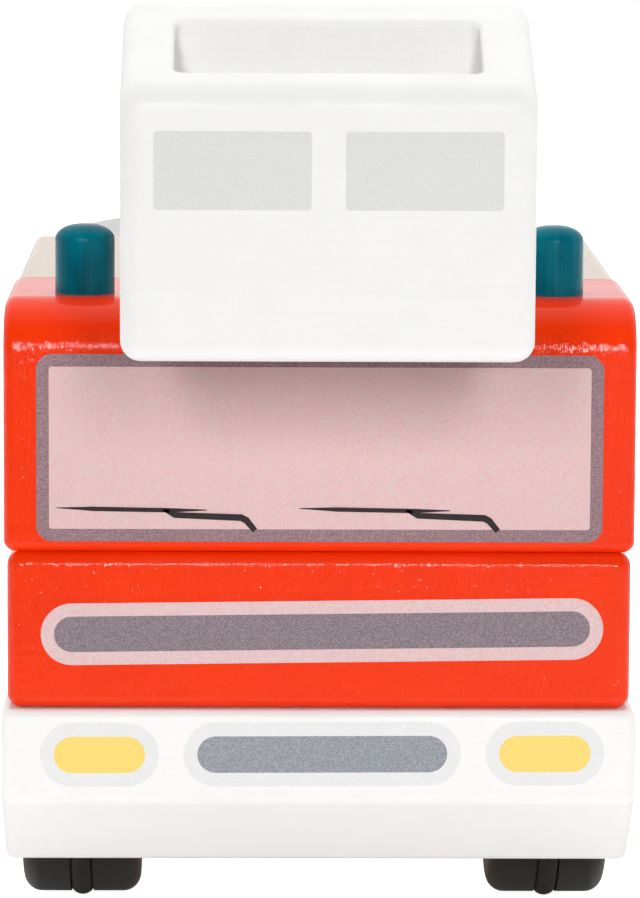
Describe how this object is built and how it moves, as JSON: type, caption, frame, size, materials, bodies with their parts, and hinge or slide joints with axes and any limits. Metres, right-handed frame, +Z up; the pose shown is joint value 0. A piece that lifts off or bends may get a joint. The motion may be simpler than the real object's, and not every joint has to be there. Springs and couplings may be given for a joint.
{
  "type": "wooden toy fire truck",
  "caption": "Wooden toy fire truck with rubber-ringed wheels, dowel beacons, and a turntable ladder that lifts, swivels and carries a tilting rescue basket.",
  "frame": {"origin": "on the ground, under the middle of the toy's outer box", "axes": "+Z up, -Y towards the truck's front, +X to the right when looking at the front"},
  "size_m": [0.101, 0.32, 0.1546],
  "materials": {
    "red_paint": "glossy red paint over wood",
    "white_paint": "satin white paint over wood",
    "teal_paint": "satin teal stain over wood",
    "grey_paint": "satin light grey paint over wood",
    "black_paint": "satin black paint over wood",
    "black_rubber": "matt black rubber",
    "beech": "clear lacquered beech"
  },
  "bodies": {
    "truck": {"chassis_beam": "beech", "front_bumper": "white_paint", "rear_bumper": "white_paint", "body_board": "red_paint", "cab_block": "red_paint", "cabin_block": "beech", "rear_body": "red_paint", "beacon_left": "teal_paint", "beacon_right": "teal_paint", "turntable_pin": "beech", "front_bumper_dowel_left": "beech", "front_bumper_dowel_right": "beech", "rear_bumper_dowel_left": "beech", "rear_bumper_dowel_right": "beech", "chassis_dowel_front": "beech", "chassis_dowel_rear": "beech", "cab_dowel_left": "beech", "cab_dowel_right": "beech", "cabin_dowel_left": "beech", "cabin_dowel_right": "beech", "rear_body_dowel_left": "beech", "rear_body_dowel_right": "beech"},
    "front_wheels": {"front_axle": "beech", "front_wheel_left": "black_paint", "front_wheel_right": "black_paint", "front_tyre_left": "black_rubber", "front_tyre_right": "black_rubber"},
    "rear_wheels": {"rear_axle": "beech", "rear_wheel_left": "black_paint", "rear_wheel_right": "black_paint", "rear_tyre_left": "black_rubber", "rear_tyre_right": "black_rubber"},
    "turntable": {"turntable_disc": "grey_paint", "cheek_left": "grey_paint", "cheek_right": "grey_paint", "ladder_rest": "grey_paint", "ladder_pivot": "beech"},
    "ladder": {"ladder_rail_left": "beech", "ladder_rail_right": "beech", "rung_1": "beech", "rung_2": "beech", "rung_3": "beech", "rung_4": "beech", "rung_5": "beech", "rung_6": "beech", "rung_7": "beech", "rung_8": "beech", "basket_pin": "beech"},
    "rescue_basket": {"basket": "white_paint", "basket_tongue": "beech"}
  },
  "joints": [
    {"name": "front_axle_spin", "type": "hinge", "parent": "truck", "child": "front_wheels", "pos_m": [0, -0.04362, 0.021], "axis": [1, 0, 0], "continuous": true},
    {"name": "rear_axle_spin", "type": "hinge", "parent": "truck", "child": "rear_wheels", "pos_m": [0, 0.10958, 0.021], "axis": [1, 0, 0], "continuous": true},
    {"name": "turntable_swivel", "type": "hinge", "parent": "truck", "child": "turntable", "pos_m": [0, 0.07028, 0.0947], "axis": [0, 0, 1], "continuous": true},
    {"name": "ladder_lift", "type": "hinge", "parent": "turntable", "child": "ladder", "pos_m": [0, 0.08808, 0.1324], "axis": [-1, 0, 0], "range_deg": [0, 55]},
    {"name": "basket_tilt", "type": "hinge", "parent": "ladder", "child": "rescue_basket", "pos_m": [0, -0.12233, 0.12137], "axis": [1, 0, 0], "range_deg": [-3, 50]}
  ]
}
